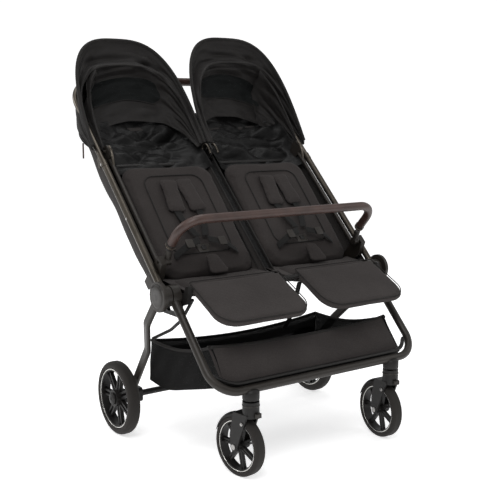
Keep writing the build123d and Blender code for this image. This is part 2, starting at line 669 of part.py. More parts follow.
# The pad leans a little off the tube plane, deeper at its foot than at its head.
PAD_FOOT = (100.0, 34.0)
PAD_HEAD_N = 4.0
BOARD_N = 68.0
pad_turn = degrees(atan2(PAD_FOOT[1] - PAD_HEAD_N, PAD_LENGTH))
PAD_ANGLE = radians(BACK_LEAN + pad_turn)
for side, sign in SIDES:
    start, width = span(sign, SEAT_INNER_X, SEAT_OUTER_X + 14.0)
    middle = start + width / 2
    with BuildPart() as back_pad:
        wedge = (PAD_FOOT, (PAD_FOOT[0] + PAD_LENGTH, PAD_HEAD_N))
        wedge += ((PAD_FOOT[0] + PAD_LENGTH, BOARD_N), (PAD_FOOT[0], BOARD_N))
        add_plate(1, start, start + width, [on_back(s, n) for s, n in wedge])
        corners = back_pad.edges().filter_by(GeomType.LINE).filter_by(
            lambda edge: abs(edge.tangent_at(0.5).X) < 0.1 and edge.length < 70.0
        )
        fillet(corners.sort_by(Axis.Z)[-2:], 30.0)
    save(back_pad, f"back_pad_{side}")

    with BuildPart() as board:
        back_plane = Plane(
            origin=at_x(middle, on_back(RECLINE_AXIS[0] - 2.0, BOARD_N)),
            x_dir=(1, 0, 0),
            z_dir=(0, -LEAN_SIN, LEAN_COS),
        )
        with BuildSketch(back_plane.offset(-BOARD_THICKNESS)):
            with Locations((0, BOARD_LENGTH / 2)):
                RectangleRounded(width, BOARD_LENGTH, 30.0)
        extrude(amount=BOARD_THICKNESS)
        add_round(1, start, start + width, on_back(*RECLINE_AXIS), HINGE_PIN_R + 5.0)
        cut_round(1, start, start + width, on_back(*RECLINE_AXIS), HINGE_PIN_R + RUNNING)
    save(board, f"backrest_board_{side}")

    buckle_plane = Plane(
        origin=at_x(middle, on_back(150.0, 22.0)),
        x_dir=(1, 0, 0),
        z_dir=(0, -sin(PAD_ANGLE), cos(PAD_ANGLE)),
    )
    with BuildPart() as buckle:
        with BuildSketch(buckle_plane) as trapezoid:
            with BuildLine():
                Polyline((-24, 14), (24, 14), (16, -16), (-16, -16), close=True)
            make_face()
            fillet(trapezoid.vertices(), 5.0)
        extrude(amount=12.0)
        with BuildSketch(buckle_plane.offset(7.0)):
            Rectangle(14.8, 14.8)
        extrude(amount=5.0, mode=Mode.SUBTRACT)
    save(buckle, f"buckle_{side}")

    with BuildPart() as buckle_button:
        with BuildSketch(buckle_plane.offset(9.0)):
            RectangleRounded(14.0, 14.0, 3.0)
        extrude(amount=4.5)
    save(buckle_button, f"buckle_button_{side}")

# ---- basket --------------------------------------------------------------------------
BASKET_PROFILE = ((-412, 336), (-474, 246), (-210, 166), (-80, 168), (-95, 290))
with BuildPart() as basket:
    add_plate(1, -BASKET_HALF_WIDTH, BASKET_HALF_WIDTH, BASKET_PROFILE)
    top = basket.faces().filter_by(lambda face: face.normal_at().Z > 0.9)
    offset(amount=-BASKET_WALL, openings=top)
save(basket, "basket")

# ---- canopies ------------------------------------------------------------------------
hinge_y, hinge_z = on_back(CANOPY_S, CANOPY_N)


def canopy_arch(sign, tilt, offset_out=0.0, start_r=8.0):
    """Corner points of a canopy arch standing on the canopy hinge line."""
    rise = radians(90.0 - tilt)
    top = CANOPY_REACH + offset_out
    outer = CANOPY_OUTER_X + offset_out
    inner = CANOPY_INNER_X - offset_out
    flat = [(outer, start_r)]
    if not offset_out:
        flat = [(MOUNT_X1 + 4.5, start_r), (MOUNT_X1 + 4.5, 60.0), (outer, 120.0)]
    flat += [(outer, top), (inner, top), (inner, start_r)]
    return [(sign * x, hinge_y + r * cos(rise), hinge_z + r * sin(rise)) for x, r in flat]


for side, sign in SIDES:
    tilt = CANOPY_TILT[side]
    with BuildPart() as bow:
        add_tube(canopy_arch(sign, tilt), BOW_R, [25.0, 25.0, CANOPY_CORNER_R, CANOPY_CORNER_R])
        add_round(sign, MOUNT_X1 + 1.5, MOUNT_X1 + 7.5, (hinge_y, hinge_z), 11.0)
        add_round(sign, 5.0, 11.0, (hinge_y, hinge_z), 11.0)
        cut_round(sign, MOUNT_X1 + 1.0, MOUNT_X1 + 9.0, (hinge_y, hinge_z), HINGE_PIN_R + RUNNING)
        cut_round(sign, 4.0, 13.0, (hinge_y, hinge_z), HINGE_PIN_R + RUNNING)
    save(bow, f"canopy_bow_{side}")

    with BuildPart() as visor:
        grow = BOW_R + VISOR_THICKNESS / 2 + 0.4
        with BuildLine() as rim_line:
            FilletPolyline(
                *canopy_arch(sign, tilt, grow, 130.0),
                radius=CANOPY_CORNER_R + grow,
            )
        section = Plane(
            origin=rim_line.line @ 0,
            x_dir=(0, cos(radians(-tilt)), sin(radians(-tilt))),
            z_dir=rim_line.line % 0,
        )
        with BuildSketch(section):
            with Locations((VISOR_DEPTH / 2 - 6.0, 0)):
                Rectangle(VISOR_DEPTH, VISOR_THICKNESS)
        sweep(path=rim_line.line)
        face_plane = Plane(
            origin=(sign * CANOPY_MIDDLE_X, hinge_y, hinge_z),
            x_dir=(1, 0, 0),
            z_dir=(0, -cos(radians(-tilt)), -sin(radians(-tilt))),
        )
        with BuildSketch(face_plane.offset(-BOW_R - VISOR_THICKNESS - 1.0)) as hood_face:
            outer_width = CANOPY_OUTER_X - CANOPY_INNER_X + 2 * grow
            with Locations((0, (130.0 + CANOPY_REACH + grow) / 2)):
                Rectangle(outer_width, CANOPY_REACH + grow - 130.0)
            fillet(hood_face.vertices().group_by(Axis.Y)[-1], CANOPY_CORNER_R + grow)
            with BuildSketch(mode=Mode.SUBTRACT) as opening:
                with Locations((0, (100.0 + HOOD_INNER_R) / 2)):
                    Rectangle(outer_width - 80.0, HOOD_INNER_R - 100.0)
                fillet(opening.vertices().group_by(Axis.Y)[-1], CANOPY_CORNER_R - 30.0)
        extrude(amount=VISOR_THICKNESS)
    save(visor, f"canopy_visor_{side}")

    rear_line = (
        (444, 28), (520, 30), (600, 28), (660, 26), (720, 14), (790, -30),
    )
    with BuildPart() as canopy_fabric:
        start, width = span(sign, SEAT_INNER_X - 9.0, MOUNT_X0 - 3.0)
        sheet = [on_back(s, n) for s, n in rear_line]
        sheet += [on_back(s - 1.0, n - 2.0) for s, n in reversed(rear_line)]
        add_plate(1, start, start + width, sheet)
    save(canopy_fabric, f"canopy_fabric_{side}")
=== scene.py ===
import json
from math import cos, pi, radians, sin

import bpy
import numpy as np
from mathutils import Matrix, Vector
from mathutils import noise as perlin


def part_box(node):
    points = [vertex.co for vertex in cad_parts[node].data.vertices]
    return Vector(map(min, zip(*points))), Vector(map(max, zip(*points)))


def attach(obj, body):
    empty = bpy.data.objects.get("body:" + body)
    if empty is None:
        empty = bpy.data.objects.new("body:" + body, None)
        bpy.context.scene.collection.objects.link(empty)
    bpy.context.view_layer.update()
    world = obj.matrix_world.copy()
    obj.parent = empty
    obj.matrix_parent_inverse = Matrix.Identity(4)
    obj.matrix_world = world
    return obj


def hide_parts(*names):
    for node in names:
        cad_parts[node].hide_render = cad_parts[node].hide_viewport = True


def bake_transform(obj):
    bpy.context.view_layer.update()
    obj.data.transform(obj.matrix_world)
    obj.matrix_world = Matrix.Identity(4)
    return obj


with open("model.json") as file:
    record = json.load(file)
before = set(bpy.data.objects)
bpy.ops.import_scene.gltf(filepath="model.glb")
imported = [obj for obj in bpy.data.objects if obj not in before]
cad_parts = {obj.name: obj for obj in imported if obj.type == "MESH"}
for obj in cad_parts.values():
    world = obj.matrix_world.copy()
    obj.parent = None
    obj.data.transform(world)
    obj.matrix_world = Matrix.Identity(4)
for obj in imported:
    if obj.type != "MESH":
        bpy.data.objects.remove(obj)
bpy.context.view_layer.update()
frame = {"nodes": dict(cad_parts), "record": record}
SIDES = (("left", -1), ("right", 1))

# ---- places read from the frame -------------------------------------------------------
JOINTS = {joint["name"]: joint for joint in frame["record"]["behaviour"]["joints"]}
HUB = Vector(JOINTS["frame_fold"]["pos_m"])
CANOPY_HINGE = Vector(JOINTS["canopy_left_turn"]["pos_m"])
FOOT_PIVOT = Vector(JOINTS["footrest_left_tilt"]["pos_m"])
LEAN = radians(44.7)
CANOPY_TILT = {"left": radians(34.0), "right": radians(29.0)}
CASTER_TURN = {"left": radians(7.6), "right": radians(-4.6)}
SEAT_MIDDLE = 0.1765
SEAT_HALF = 0.158


def lo_hi(node):
    """Lowest and highest corners of a CAD node, as vectors."""
    low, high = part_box(node)
    return Vector(low), Vector(high)


def on_back(x, s, n):
    """A point x across, s up the upper frame from the hub and n behind its plane."""
    y = HUB.y + s * cos(LEAN) + n * sin(LEAN)
    z = HUB.z + s * sin(LEAN) - n * cos(LEAN)
    return Vector((x, y, z))


# ---- materials -------------------------------------------------------------------------
def new_material(name):
    """An empty node material with its principled shader."""
    mat = bpy.data.materials.new(name)
    mat.use_nodes = True
    return mat, mat.node_tree, mat.node_tree.nodes["Principled BSDF"]


def link(tree, a, b):
    tree.links.new(a, b)


def texture_space(tree, scale=(1, 1, 1)):
    """Object coordinates scaled along each axis."""
    coords = tree.nodes.new("ShaderNodeTexCoord")
    mapping = tree.nodes.new("ShaderNodeMapping")
    mapping.inputs["Scale"].default_value = scale
    link(tree, coords.outputs["Object"], mapping.inputs["Vector"])
    return mapping.outputs["Vector"]


def noise(tree, vector, scale, detail=3.0, rough=0.55):
    node = tree.nodes.new("ShaderNodeTexNoise")
    node.inputs["Scale"].default_value = scale
    node.inputs["Detail"].default_value = detail
    node.inputs["Roughness"].default_value = rough
    link(tree, vector, node.inputs["Vector"])
    return node.outputs["Fac"]


def ramp(tree, factor, stops):
    """Colours along a factor, from (place, colour) stops."""
    node = tree.nodes.new("ShaderNodeValToRGB")
    elements = node.color_ramp.elements
    while len(elements) < len(stops):
        elements.new(0.5)
    for element, (place, colour) in zip(elements, stops):
        element.position = place
        element.color = (*colour, 1.0)
    link(tree, factor, node.inputs["Fac"])
    return node.outputs["Color"]


def wave(tree, vector, scale, direction):
    node = tree.nodes.new("ShaderNodeTexWave")
    node.bands_direction = direction
    node.inputs["Scale"].default_value = scale
    node.inputs["Distortion"].default_value = 0.6
    node.inputs["Detail"].default_value = 1.0
    link(tree, vector, node.inputs["Vector"])
    return node.outputs["Fac"]


def math_node(tree, operation, a, b):
    node = tree.nodes.new("ShaderNodeMath")
    node.operation = operation
    for socket, value in zip(node.inputs, (a, b)):
        if isinstance(value, (int, float)):
            socket.default_value = value
        else:
            link(tree, value, socket)
    return node.outputs[0]


def bump(tree, shader, height, strength, distance=0.001, below=None):
    node = tree.nodes.new("ShaderNodeBump")
    node.inputs["Strength"].default_value = strength
    node.inputs["Distance"].default_value = distance
    link(tree, height, node.inputs["Height"])
    if below is not None:
        link(tree, below, node.inputs["Normal"])
    link(tree, node.outputs["Normal"], shader.inputs["Normal"])
    return node.outputs["Normal"]


def woven(name, dark, light, thread=900.0, sheen=0.04, rough=0.9, crumple=0.25):
    """A matte woven cloth: two thread directions, slub colour changes and soft crumples."""
    mat, tree, shader = new_material(name)
    space = texture_space(tree)
    slubs = noise(tree, space, 260.0, 4.0)
    patches = noise(tree, space, 9.0, 4.0)
    half_slubs = math_node(tree, "MULTIPLY", slubs, 0.5)
    half_patches = math_node(tree, "MULTIPLY", patches, 0.5)
    mixed = math_node(tree, "ADD", half_slubs, half_patches)
    link(tree, ramp(tree, mixed, ((0.32, dark), (0.68, light))), shader.inputs["Base Color"])
    across = wave(tree, space, thread / 6.0, "X")
    along = wave(tree, space, thread / 6.0, "Z")
    weave = math_node(tree, "MULTIPLY", across, along)
    soft = bump(tree, shader, noise(tree, space, 22.0, 3.0), crumple, 0.004)
    bump(tree, shader, weave, 0.35, 0.0006, soft)
    shader.inputs["Roughness"].default_value = rough
    shader.inputs["Specular IOR Level"].default_value = 0.16
    shader.inputs["Sheen Weight"].default_value = sheen
    shader.inputs["Sheen Roughness"].default_value = 0.4
    return mat


def mesh_cloth(name, colour, pitch=1500.0, gap=0.34):
    """An open mesh cloth that lets a little through its holes."""
    mat, tree, shader = new_material(name)
    space = texture_space(tree)
    holes = math_node(
        tree, "MULTIPLY", wave(tree, space, pitch / 6.0, "Y"), wave(tree, space, pitch / 6.0, "Z")
    )
    solid = math_node(tree, "LESS_THAN", holes, 1.0 - gap)
    cover = math_node(tree, "ADD", math_node(tree, "MULTIPLY", solid, 0.35), 0.62)
    link(tree, cover, shader.inputs["Alpha"])
    tint = noise(tree, space, 14.0, 3.0)
    light = tuple(1.5 * c for c in colour)
    link(tree, ramp(tree, tint, ((0.3, colour), (0.7, light))), shader.inputs["Base Color"])
    bump(tree, shader, holes, 0.4, 0.0008)
    shader.inputs["Roughness"].default_value = 0.75
    shader.inputs["Specular IOR Level"].default_value = 0.12
    return mat


def metal(name, colour, rough=0.34, flake=0.12, metallic=0.85):
    """Satin coated metal with fine flake, faint smears and worn patches."""
    mat, tree, shader = new_material(name)
    space = texture_space(tree)
    smear = noise(tree, space, 18.0, 5.0)
    grain = noise(tree, space, 1400.0, 2.0)
    dark = tuple(0.86 * c for c in colour)
    light = tuple(1.14 * c for c in colour)
    link(tree, ramp(tree, smear, ((0.3, dark), (0.7, light))), shader.inputs["Base Color"])
    level = math_node(tree, "ADD", math_node(tree, "MULTIPLY", smear, 0.14), rough - 0.07)
    link(tree, level, shader.inputs["Roughness"])
    bump(tree, shader, grain, flake, 0.0002)
    shader.inputs["Metallic"].default_value = metallic
    return mat


def plastic(name, colour, rough=0.5, grain=700.0, depth=0.25):
    """Moulded plastic with a fine spark-eroded grain and slightly uneven gloss."""
    mat, tree, shader = new_material(name)
    space = texture_space(tree)
    cloud = noise(tree, space, 30.0, 4.0)
    light = tuple(1.25 * c for c in colour)
    link(tree, ramp(tree, cloud, ((0.35, colour), (0.65, light))), shader.inputs["Base Color"])
    level = math_node(tree, "ADD", math_node(tree, "MULTIPLY", cloud, 0.16), rough - 0.08)
    link(tree, level, shader.inputs["Roughness"])
    bump(tree, shader, noise(tree, space, grain, 2.0), depth, 0.0003)
    shader.inputs["Specular IOR Level"].default_value = 0.3
    return mat


def hide(name, dark, light):
    """Smooth brown leather: pebbled grain, creases and a low sheen."""
    mat, tree, shader = new_material(name)
    space = texture_space(tree)
    cells = tree.nodes.new("ShaderNodeTexVoronoi")
    cells.inputs["Scale"].default_value = 620.0
    link(tree, space, cells.inputs["Vector"])
    cloud = noise(tree, space, 24.0, 5.0)
    link(tree, ramp(tree, cloud, ((0.3, dark), (0.72, light))), shader.inputs["Base Color"])
    creases = bump(tree, shader, noise(tree, space, 90.0, 5.0), 0.18, 0.001)
    bump(tree, shader, cells.outputs["Distance"], 0.25, 0.0005, creases)
    shader.inputs["Roughness"].default_value = 0.46
    return mat


CHARCOAL = woven("charcoal_weave", (0.024, 0.0215, 0.0205), (0.038, 0.0345, 0.033))
HOOD_CLOTH = woven(
    "hood_weave", (0.0095, 0.0085, 0.0082), (0.017, 0.0155, 0.0148), sheen=0.03, rough=0.6, crumple=0.5
)
PAD_CLOTH = woven("pad_weave", (0.0215, 0.0182, 0.0174), (0.0345, 0.0298, 0.0285), crumple=0.12)
RIBBED = woven("ribbed_weave", (0.030, 0.0262, 0.0252), (0.046, 0.0405, 0.039), thread=700.0, crumple=0.1)
LINING = woven(
    "satin_lining", (0.0035, 0.0034, 0.0034), (0.0075, 0.0073, 0.0073), sheen=0.0, rough=0.42, crumple=0.9
)
WEBBING = woven("webbing", (0.008, 0.008, 0.008), (0.015, 0.0145, 0.014), thread=1300.0, crumple=0.05)
PIPING = woven("piping", (0.014, 0.013, 0.0125), (0.024, 0.0225, 0.0215), thread=1500.0, crumple=0.05)
BASKET_MESH = mesh_cloth("basket_mesh", (0.0025, 0.0024, 0.0024))
WINDOW_MESH = mesh_cloth("window_mesh", (0.0055, 0.0062, 0.0062), gap=0.2)
BRONZE = metal("bronze_coat", (0.019, 0.0155, 0.0125), 0.46, metallic=0.3)
BRONZE_LIGHT = metal("bronze_coat_light", (0.085, 0.074, 0.061), 0.3)
SILVER = metal("silver_ring", (0.62, 0.61, 0.58), 0.25)
STEEL = metal("zinc_steel", (0.35, 0.34, 0.33), 0.3)
BLACK = plastic("black_plastic", (0.0065, 0.0058, 0.0054))
DARK_BRONZE = plastic("bronze_plastic", (0.018, 0.0155, 0.0132), 0.42)
TYRE = plastic("tyre_rubber", (0.0155, 0.0135, 0.012), 0.78, 500.0, 0.35)
LEATHER = hide("brown_leather", (0.030, 0.0145, 0.011), (0.056, 0.029, 0.0225))

LOOKS = {
    "front_leg_frame": BRONZE, "front_hubs": DARK_BRONZE, "caster_saddles": BLACK,
    "seat_tubes": BLACK, "seat_brackets": BLACK, "seat_support_bars": BLACK,
    "rear_leg": BRONZE, "upper_tube": BRONZE_LIGHT, "upper_hubs": DARK_BRONZE,
    "hub_pins": STEEL, "handle_collars": BRONZE_LIGHT, "seat_side_tubes": BRONZE,
    "cross_tubes": BLACK, "rear_axle_tube": BLACK, "rear_axle_rod": STEEL,
    "brake_housings": BLACK, "brake_pin": STEEL, "brake_pedal": BLACK,
    "handle_tube": BRONZE_LIGHT, "handle_grip": LEATHER, "fold_button": BLACK,
    "bumper_bar": LEATHER, "bar_adapters": BRONZE, "rear_tyre": TYRE, "front_tyre": TYRE,
    "rear_rim": BLACK, "front_rim": BLACK, "caster_fork": BLACK, "caster_axle": STEEL,
    "swivel_lock": DARK_BRONZE, "canopy_bow": BRONZE, "buckle_button": BLACK,
}
for node, obj in frame["nodes"].items():
    stem = node.removesuffix("_left").removesuffix("_right")
    if stem in LOOKS:
        obj.data.materials.clear()
        obj.data.materials.append(LOOKS[stem])


# ---- mesh building -----------------------------------------------------------------------
def mesh_object(name, verts, faces, material, smooth=True):
    mesh = bpy.data.meshes.new(name)
    mesh.from_pydata([tuple(v) for v in verts], [], faces)
    mesh.validate()
    mesh.update()
    obj = bpy.data.objects.new(name, mesh)
    bpy.context.scene.collection.objects.link(obj)
    mesh.materials.append(material)
    if smooth:
        mesh.polygons.foreach_set("use_smooth", [True] * len(mesh.polygons))
    return obj


def apply_modifiers(obj):
    """Keep the evaluated mesh of obj as its own mesh."""
    depsgraph = bpy.context.evaluated_depsgraph_get()
    shape = bpy.data.meshes.new_from_object(obj.evaluated_get(depsgraph))
    obj.modifiers.clear()
    old = obj.data
    obj.data = shape
    if isinstance(old, bpy.types.Mesh):
        bpy.data.meshes.remove(old)
    return obj


def sheet(name, shape, columns, rows, thickness, material, offset=0.0, smooth_levels=1):
    """A curved sheet with a thickness: shape(u, v) gives its points, u and v from 0 to 1."""
    verts = [shape(i / columns, j / rows) for j in range(rows + 1) for i in range(columns + 1)]
    width = columns + 1
    faces = [
        (j * width + i, j * width + i + 1, (j + 1) * width + i + 1, (j + 1) * width + i)
        for j in range(rows)
        for i in range(columns)
    ]
    obj = mesh_object(name, verts, faces, material)
    solid = obj.modifiers.new("thick", "SOLIDIFY")
    solid.thickness = thickness
    solid.offset = offset
    if smooth_levels:
        sub = obj.modifiers.new("smooth", "SUBSURF")
        sub.levels = smooth_levels
        sub.render_levels = smooth_levels
    return apply_modifiers(obj)


def tube(name, points, radius, material, smooth=True, closed=False, resolution=4):
    """A round cord along points, as a mesh."""
    curve = bpy.data.curves.new(name, "CURVE")
    curve.dimensions = "3D"
    spline = curve.splines.new("NURBS" if smooth else "POLY")
    spline.points.add(len(points) - 1)
    for place, point in zip(spline.points, points):
        place.co = (*point, 1.0)
    if smooth:
        spline.order_u = 3
        spline.use_endpoint_u = not closed
    spline.use_cyclic_u = closed
    curve.resolution_u = 8
    curve.use_fill_caps = True
    curve.bevel_depth = radius
    curve.bevel_resolution = resolution
    obj = bpy.data.objects.new(name, curve)
    bpy.context.scene.collection.objects.link(obj)
    depsgraph = bpy.context.evaluated_depsgraph_get()
    mesh = bpy.data.meshes.new_from_object(obj.evaluated_get(depsgraph))
    bpy.data.objects.remove(obj)
    mesh.materials.clear()
    mesh.materials.append(material)
    mesh.polygons.foreach_set("use_smooth", [True] * len(mesh.polygons))
    result = bpy.data.objects.new(name, mesh)
    bpy.context.scene.collection.objects.link(result)
    return result


def slab(name, outline, axes, thickness, material, bevel=0.003):
    """A rounded slab: outline points in a plane (origin, u, v, normal), with eased edges."""
    origin, u_dir, v_dir, normal = axes
    count = len(outline)
    verts = [origin + u * u_dir + v * v_dir for u, v in outline]
    verts += [p + thickness * normal for p in verts]
    faces = [tuple(range(count - 1, -1, -1)), tuple(range(count, 2 * count))]
    faces += [(i, (i + 1) % count, count + (i + 1) % count, count + i) for i in range(count)]
    obj = mesh_object(name, verts, faces, material)
    soft = obj.modifiers.new("bevel", "BEVEL")
    soft.width = bevel
    soft.segments = 3
    soft.limit_method = "ANGLE"
    soft.angle_limit = radians(50.0)
    return apply_modifiers(obj)


def rounded_outline(half_u, low_v, high_v, corner, steps=6, taper=0.0):
    """Corner points of a rounded rectangle, wider at its top by taper on each side."""
    points = []
    corners = (
        (half_u + taper, high_v, 0.0), (-half_u - taper, high_v, 90.0),
        (-half_u, low_v, 180.0), (half_u, low_v, 270.0),
    )
    for u, v, start in corners:
        cu = u - corner * (1 if u > 0 else -1)
        cv = v - corner * (1 if v == high_v else -1)
        for k in range(steps + 1):
            angle = radians(start + 90.0 * k / steps)
            points.append((cu + corner * cos(angle), cv + corner * sin(angle)))
    return points


def lathe(name, profile, centre, axis_x, axis_y, axis, material, steps=72):
    """A ring or disc turned about axis: profile holds (radius, along) points, closed."""
    verts = []
    for k in range(steps):
        angle = 2 * pi * k / steps
        radial = cos(angle) * axis_x + sin(angle) * axis_y
        verts += [centre + r * radial + a * axis for r, a in profile]
    count = len(profile)
    faces = []
    for k in range(steps):
        near, far = k * count, ((k + 1) % steps) * count
        faces += [(near + i, near + (i + 1) % count, far + (i + 1) % count, far + i) for i in range(count)]
    return mesh_object(name, verts, faces, material)


def stuffed(name, outline, axes, thickness, material, swell=0.008, voxel=0.005, pressure=4.0):
    """A cushion: a slab remeshed, blown up by cloth pressure, capped and smoothed."""
    obj = slab(name, outline, axes, thickness, material, bevel=min(0.008, 0.4 * thickness))
    remesh = obj.modifiers.new("remesh", "REMESH")
    remesh.mode = "VOXEL"
    remesh.voxel_size = voxel
    apply_modifiers(obj)
    obj.data.materials.clear()
    obj.data.materials.append(material)
    count = len(obj.data.vertices)
    rest = np.empty(count * 3)
    obj.data.vertices.foreach_get("co", rest)
    cloth = obj.modifiers.new("cloth", "CLOTH")
    cloth.settings.use_pressure = True
    cloth.settings.uniform_pressure_force = pressure
    cloth.settings.effector_weights.gravity = 0.0
    cloth.settings.tension_stiffness = 25.0
    cloth.settings.compression_stiffness = 25.0
    cloth.point_cache.frame_start = 1
    cloth.point_cache.frame_end = 20
    for step in range(1, 21):
        bpy.context.scene.frame_set(step)
    apply_modifiers(obj)
    bpy.context.scene.frame_set(1)
    now = np.empty(count * 3)
    obj.data.vertices.foreach_get("co", now)
    move = (now - rest).reshape(-1, 3)
    length = np.linalg.norm(move, axis=1, keepdims=True) + 1e-9
    move *= np.minimum(1.0, swell / length)
    obj.data.vertices.foreach_set("co", (rest.reshape(-1, 3) + move).ravel())
    obj.modifiers.new("smooth", "SMOOTH").iterations = 4
    sub = obj.modifiers.new("sub", "SUBSURF")
    sub.levels = 1
    sub.render_levels = 1
    apply_modifiers(obj)
    obj.data.polygons.foreach_set("use_smooth", [True] * len(obj.data.polygons))
    return obj


def place(obj, body, *nodes, slot=None):
    """Tie a piece to its body and hide the CAD nodes that it stands for; slot, the finish, is not used."""
    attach(obj, body)
    if nodes:
        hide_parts(*nodes)
    return obj


X = Vector((1, 0, 0))
Y = Vector((0, 1, 0))
Z = Vector((0, 0, 1))

# ---- wheels: pinstripe rings and hub caps ---------------------------------------------------
REAR_RING_R = 0.0855
FRONT_RING_R = 0.0662


def ring_profile(radius, width, along, height):
    return [(radius - width / 2, along), (radius - width / 2, along + height),
            (radius + width / 2, along + height), (radius + width / 2, along)]


for side, sign in SIDES:
    low, high = lo_hi(f"rear_tyre_{side}")
    centre = (low + high) / 2
    for face in (-1, 1):
        ring = lathe(f"rear_ring_{side}_{'out' if face * sign > 0 else 'in'}",
                     ring_profile(REAR_RING_R, 0.0035, face * 0.0142, face * 0.0016), centre, Y, Z, X, SILVER)
        place(ring, f"rear_wheel_{side}", slot="steel")
    cap_profile = [(0.0, 0.0), (0.016, 0.0), (0.018, 0.003), (0.016, 0.006), (0.009, 0.0075), (0.0, 0.008)]
    cap = lathe(f"rear_cap_{side}", cap_profile, centre + sign * 0.0172 * X, Y, Z, sign * X, BLACK, 40)
    place(cap, f"rear_wheel_{side}", slot="plastic")

    turn = CASTER_TURN[side]
    across = Vector((cos(turn), sin(turn), 0))
    ahead = Vector((-sin(turn), cos(turn), 0))
    low, high = lo_hi(f"front_tyre_{side}")
    centre = (low + high) / 2
    for face in (-1, 1):
        ring = lathe(f"front_ring_{side}_{'out' if face * sign > 0 else 'in'}",
                     ring_profile(FRONT_RING_R, 0.0030, face * 0.0126, face * 0.0014),
                     centre, ahead, Z, across, SILVER)
        place(ring, f"front_wheel_{side}", slot="steel")
        bolt = lathe(f"caster_bolt_{side}_{'out' if face * sign > 0 else 'in'}",
                     [(0.0, 0.0), (0.0045, 0.0), (0.005, 0.0015), (0.003, 0.003), (0.0, 0.0032)],
                     centre - 0.030 * ahead + 0.068 * Z + face * 0.0235 * across,
                     ahead, Z, face * across, STEEL, 24)
        place(bolt, f"caster_{side}", slot="steel")
    swivel = Vector(JOINTS[f"caster_{side}_swivel"]["pos_m"])
    swivel.z = 0.196
    collar = lathe(f"caster_collar_{side}",
                   [(0.0195, 0.0), (0.0226, 0.0), (0.0232, 0.002), (0.0226, 0.004), (0.0195, 0.004)],
                   swivel, X, Y, Z, DARK_BRONZE)
    place(collar, f"caster_{side}", slot="plastic")
    sleeve = lathe(f"caster_sleeve_{side}",
                   [(0.0192, 0.0), (0.0215, 0.0), (0.0222, 0.003), (0.0222, 0.020), (0.0205, 0.0245),
                    (0.0125, 0.030), (0.0118, 0.030)],
                   swivel + 0.0165 * Z, X, Y, Z, BLACK)
    place(sleeve, "front_frame", slot="plastic")

    # mudguard arch behind the front wheel
    def guard(u, v, centre=centre, ahead=ahead, across=across):
        angle = radians(18.0 + 78.0 * v)
        crown = 0.0875 - 0.010 * abs(2 * u - 1) ** 3
        return centre + crown * (cos(angle) * ahead + sin(angle) * Z) + (u - 0.5) * 0.034 * across

    fender = sheet(f"fender_{side}", guard, 8, 14, 0.0022, BLACK)
    place(fender, f"caster_{side}", slot="plastic")

    # hub disc: raised rim and a curved recess line
    disc_low, disc_high = lo_hi(f"rear_leg_{side}")
    face_x = sign * max(abs(disc_low.x), abs(disc_high.x))
    hub = Vector((face_x, HUB.y, HUB.z))
    disc = lathe(f"hub_cover_{side}",
                 [(0.0, 0.0022), (0.024, 0.0020), (0.029, 0.0012), (0.0305, 0.0002), (0.033, 0.0002),
                  (0.0345, 0.0), (0.0, 0.0)],
                 hub - sign * 0.0005 * X, Y, Z, sign * X, DARK_BRONZE, 64)
    place(disc, "rear_frame", slot="plastic")
    arc = [
        hub + sign * 0.0012 * X + 0.033 * (cos(radians(a)) * Y + sin(radians(a)) * Z)
        for a in range(40, 141, 10)
    ]
    place(tube(f"hub_line_{side}", arc, 0.0007, BLACK), "rear_frame", slot="plastic")

# ---- tube details: rivets, canopy brackets, ledge ----------------------------------------------
BRACKET_LOOP = (
    (-0.034, -0.046), (-0.030, -0.012), (-0.012, 0.016), (0.012, 0.012), (0.018, -0.010), (0.006, -0.030),
)
for side, sign in SIDES:
    for name, s in (("collar", 0.462), ("mid", 0.262)):
        rivet = lathe(f"rivet_{name}_{side}",
                      [(0.0, 0.0016), (0.0022, 0.0014), (0.0034, 0.0004), (0.0036, 0.0), (0.0, 0.0)],
                      on_back(sign * (0.3789 if name == "mid" else 0.3809), s, 0), Y, Z, sign * X, STEEL, 20)
        place(rivet, "upper_frame", slot="steel")
    x = sign * 0.345
    loop = [Vector((x, CANOPY_HINGE.y + dy, CANOPY_HINGE.z + dz)) for dy, dz in BRACKET_LOOP]
    place(tube(f"canopy_bracket_{side}", loop, 0.0042, BRONZE_LIGHT), "upper_frame", slot="frame")
    inner = [Vector((sign * 0.014, p.y, p.z)) for p in loop[1:]]
    place(tube(f"canopy_bracket_inner_{side}", inner, 0.0035, BRONZE_LIGHT), "upper_frame", slot="frame")

bar_low, bar_high = lo_hi("front_leg_frame")
ledge_y = bar_low.y + 0.011
ledge_z = bar_low.z + 0.011


def ledge_shape(u, v):
    """A soft plastic ledge on top of the front crossbar, round its corners."""
    x = (u * 2 - 1) * 0.330
    pull = max(0.0, abs(x) - 0.270) / 0.060
    y = ledge_y + 0.006 + 0.030 * pull**2
    z = ledge_z + 0.012 + 0.022 * pull**2
    angle = radians(-70.0 + 230.0 * v)
    return Vector((x, y + 0.008 * cos(angle) + 0.004, z + 0.009 * sin(angle)))


ledge = sheet("front_ledge", ledge_shape, 60, 8, 0.002, BLACK)
place(ledge, "front_frame", slot="plastic")

